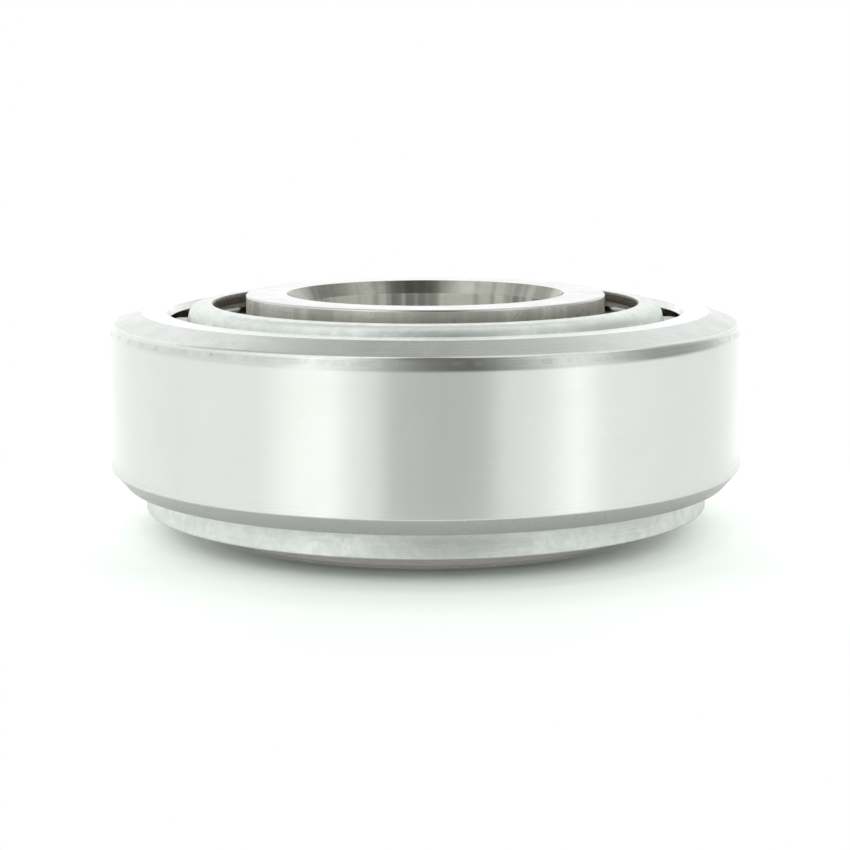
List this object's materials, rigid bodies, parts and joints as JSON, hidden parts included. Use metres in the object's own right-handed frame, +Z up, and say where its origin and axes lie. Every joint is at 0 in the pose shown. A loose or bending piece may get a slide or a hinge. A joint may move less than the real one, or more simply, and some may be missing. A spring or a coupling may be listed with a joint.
{
  "type": "tapered roller bearing",
  "caption": "Tapered roller bearing: bored inner ring, tapered rollers in a pressed cage and a separable outer ring, carrying radial and one-way axial load on a shaft.",
  "frame": {"origin": "centre of the inner ring's back face, on the surface that the bearing stands on", "axes": "+Z up the bearing axis from the inner ring's back face to its front face, so the outer ring's back face looks along +Z; +X runs through the axis of roller_01, +Y completes a right-handed frame and the picture looks along +Y"},
  "size_m": [0.0452, 0.0452, 0.0166],
  "materials": {
    "outer_ring_steel": "ground and polished hardened bearing steel, bevels left as turned",
    "inner_ring_steel": "ground hardened bearing steel, bore finely honed",
    "cage_steel": "pressed mild steel sheet, pale satin and slightly mottled",
    "roller_steel": "superfinished hardened bearing steel"
  },
  "bodies": {
    "inner_ring_body": {"inner_ring": "inner_ring_steel"},
    "outer_ring_body": {"outer_ring": "outer_ring_steel"},
    "cage_body": {"cage": "cage_steel"},
    "roller_01_body": {"roller_01": "roller_steel"},
    "roller_02_body": {"roller_02": "roller_steel"},
    "roller_03_body": {"roller_03": "roller_steel"},
    "roller_04_body": {"roller_04": "roller_steel"},
    "roller_05_body": {"roller_05": "roller_steel"},
    "roller_06_body": {"roller_06": "roller_steel"},
    "roller_07_body": {"roller_07": "roller_steel"},
    "roller_08_body": {"roller_08": "roller_steel"},
    "roller_09_body": {"roller_09": "roller_steel"},
    "roller_10_body": {"roller_10": "roller_steel"},
    "roller_11_body": {"roller_11": "roller_steel"},
    "roller_12_body": {"roller_12": "roller_steel"},
    "roller_13_body": {"roller_13": "roller_steel"},
    "roller_14_body": {"roller_14": "roller_steel"}
  },
  "joints": [
    {"name": "outer_ring_spin", "type": "hinge", "parent": "inner_ring_body", "child": "outer_ring_body", "pos_m": [0, 0, 0], "axis": [0, 0, 1], "continuous": true},
    {"name": "cage_spin", "type": "hinge", "parent": "inner_ring_body", "child": "cage_body", "pos_m": [0, 0, 0], "axis": [0, 0, 1], "continuous": true},
    {"name": "roller_01_spin", "type": "hinge", "parent": "cage_body", "child": "roller_01_body", "pos_m": [0.01619, 0, 0.00911], "axis": [-0.1644, 0, 0.9864], "continuous": true},
    {"name": "roller_02_spin", "type": "hinge", "parent": "cage_body", "child": "roller_02_body", "pos_m": [0.01458, 0.00702, 0.00911], "axis": [-0.1481, -0.0713, 0.9864], "continuous": true},
    {"name": "roller_03_spin", "type": "hinge", "parent": "cage_body", "child": "roller_03_body", "pos_m": [0.01009, 0.01265, 0.00911], "axis": [-0.1025, -0.1285, 0.9864], "continuous": true},
    {"name": "roller_04_spin", "type": "hinge", "parent": "cage_body", "child": "roller_04_body", "pos_m": [0.0036, 0.01578, 0.00911], "axis": [-0.0366, -0.1603, 0.9864], "continuous": true},
    {"name": "roller_05_spin", "type": "hinge", "parent": "cage_body", "child": "roller_05_body", "pos_m": [-0.0036, 0.01578, 0.00911], "axis": [0.0366, -0.1603, 0.9864], "continuous": true},
    {"name": "roller_06_spin", "type": "hinge", "parent": "cage_body", "child": "roller_06_body", "pos_m": [-0.01009, 0.01265, 0.00911], "axis": [0.1025, -0.1285, 0.9864], "continuous": true},
    {"name": "roller_07_spin", "type": "hinge", "parent": "cage_body", "child": "roller_07_body", "pos_m": [-0.01458, 0.00702, 0.00911], "axis": [0.1481, -0.0713, 0.9864], "continuous": true},
    {"name": "roller_08_spin", "type": "hinge", "parent": "cage_body", "child": "roller_08_body", "pos_m": [-0.01619, 0, 0.00911], "axis": [0.1644, 0, 0.9864], "continuous": true},
    {"name": "roller_09_spin", "type": "hinge", "parent": "cage_body", "child": "roller_09_body", "pos_m": [-0.01458, -0.00702, 0.00911], "axis": [0.1481, 0.0713, 0.9864], "continuous": true},
    {"name": "roller_10_spin", "type": "hinge", "parent": "cage_body", "child": "roller_10_body", "pos_m": [-0.01009, -0.01265, 0.00911], "axis": [0.1025, 0.1285, 0.9864], "continuous": true},
    {"name": "roller_11_spin", "type": "hinge", "parent": "cage_body", "child": "roller_11_body", "pos_m": [-0.0036, -0.01578, 0.00911], "axis": [0.0366, 0.1603, 0.9864], "continuous": true},
    {"name": "roller_12_spin", "type": "hinge", "parent": "cage_body", "child": "roller_12_body", "pos_m": [0.0036, -0.01578, 0.00911], "axis": [-0.0366, 0.1603, 0.9864], "continuous": true},
    {"name": "roller_13_spin", "type": "hinge", "parent": "cage_body", "child": "roller_13_body", "pos_m": [0.01009, -0.01265, 0.00911], "axis": [-0.1025, 0.1285, 0.9864], "continuous": true},
    {"name": "roller_14_spin", "type": "hinge", "parent": "cage_body", "child": "roller_14_body", "pos_m": [0.01458, -0.00702, 0.00911], "axis": [-0.1481, 0.0713, 0.9864], "continuous": true}
  ],
  "couplings": [
    {"joint": "cage_spin", "follows": "outer_ring_spin", "ratio": 0.59686},
    {"joint": "roller_01_spin", "follows": "outer_ring_spin", "ratio": 2.4503},
    {"joint": "roller_02_spin", "follows": "outer_ring_spin", "ratio": 2.4503},
    {"joint": "roller_03_spin", "follows": "outer_ring_spin", "ratio": 2.4503},
    {"joint": "roller_04_spin", "follows": "outer_ring_spin", "ratio": 2.4503},
    {"joint": "roller_05_spin", "follows": "outer_ring_spin", "ratio": 2.4503},
    {"joint": "roller_06_spin", "follows": "outer_ring_spin", "ratio": 2.4503},
    {"joint": "roller_07_spin", "follows": "outer_ring_spin", "ratio": 2.4503},
    {"joint": "roller_08_spin", "follows": "outer_ring_spin", "ratio": 2.4503},
    {"joint": "roller_09_spin", "follows": "outer_ring_spin", "ratio": 2.4503},
    {"joint": "roller_10_spin", "follows": "outer_ring_spin", "ratio": 2.4503},
    {"joint": "roller_11_spin", "follows": "outer_ring_spin", "ratio": 2.4503},
    {"joint": "roller_12_spin", "follows": "outer_ring_spin", "ratio": 2.4503},
    {"joint": "roller_13_spin", "follows": "outer_ring_spin", "ratio": 2.4503},
    {"joint": "roller_14_spin", "follows": "outer_ring_spin", "ratio": 2.4503}
  ]
}
